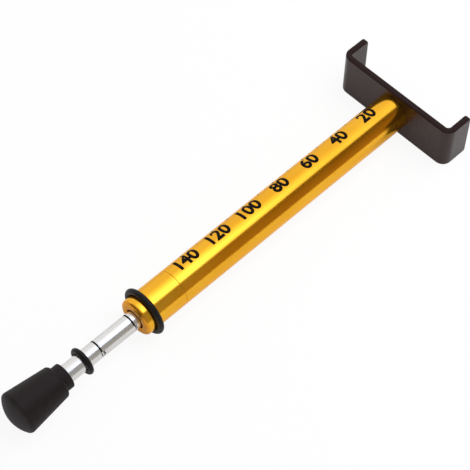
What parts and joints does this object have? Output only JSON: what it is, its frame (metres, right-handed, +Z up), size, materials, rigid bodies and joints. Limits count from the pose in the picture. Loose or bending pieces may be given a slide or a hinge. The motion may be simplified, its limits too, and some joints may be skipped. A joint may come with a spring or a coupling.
{
  "type": "v-belt tension gauge",
  "caption": "Hand-held belt tension gauge: a spring plunger with a push knob in a round barrel, sliding marker rings, and a channel bracket that sits on the belt.",
  "frame": {"origin": "on the bench under the middle of the lying tool", "axes": "+X along the barrel from the push knob to the belt bracket, +Y along the bracket's width, +Z up from the bench"},
  "size_m": [0.2616, 0.071, 0.026],
  "materials": {
    "gold_anodised": "gold anodised, bright drawn tube with printed black numbers",
    "black_coat": "satin black coating on bent steel strip",
    "polished_rod": "bright polished, with printed black lines",
    "black_rubber": "matt moulded rubber",
    "ring_rubber": "smooth black rubber cord",
    "bronze": "sintered, oiled",
    "plain_aluminium": "turned",
    "plain_steel": "zinc plated",
    "spring_steel": "drawn spring wire",
    "nylon": "turned nylon"
  },
  "bodies": {
    "barrel": {"barrel_tube": "gold_anodised", "front_cap": "gold_anodised", "guide_bush": "bronze", "end_plug": "plain_aluminium", "seat_washer": "plain_steel", "thin_shim": "plain_steel", "thick_shim": "plain_steel", "belt_bracket": "black_coat", "bracket_screw": "plain_steel", "locating_pin": "plain_steel", "calibrated_spring": "spring_steel"},
    "plunger": {"plunger_rod": "polished_rod", "stop_washer": "black_rubber", "guide_piston": "nylon", "piston_washer": "plain_steel", "piston_nut": "plain_steel", "push_knob": "black_rubber", "knob_disc": "plain_steel"},
    "force_marker": {"force_ring": "ring_rubber"},
    "deflection_marker": {"deflection_ring": "ring_rubber"}
  },
  "joints": [
    {"name": "plunger_slide", "type": "slide", "parent": "barrel", "child": "plunger", "axis": [1, 0, 0], "range_m": [0, 0.0296], "stiffness_N_per_m": 2284, "springref_m": -0.0064, "deforming": ["calibrated_spring"]},
    {"name": "force_ring_slide", "type": "slide", "parent": "plunger", "child": "force_marker", "axis": [-1, 0, 0], "range_m": [0, 0.0084]},
    {"name": "deflection_ring_slide", "type": "slide", "parent": "barrel", "child": "deflection_marker", "axis": [1, 0, 0], "range_m": [-0.0023, 0.1642]}
  ]
}
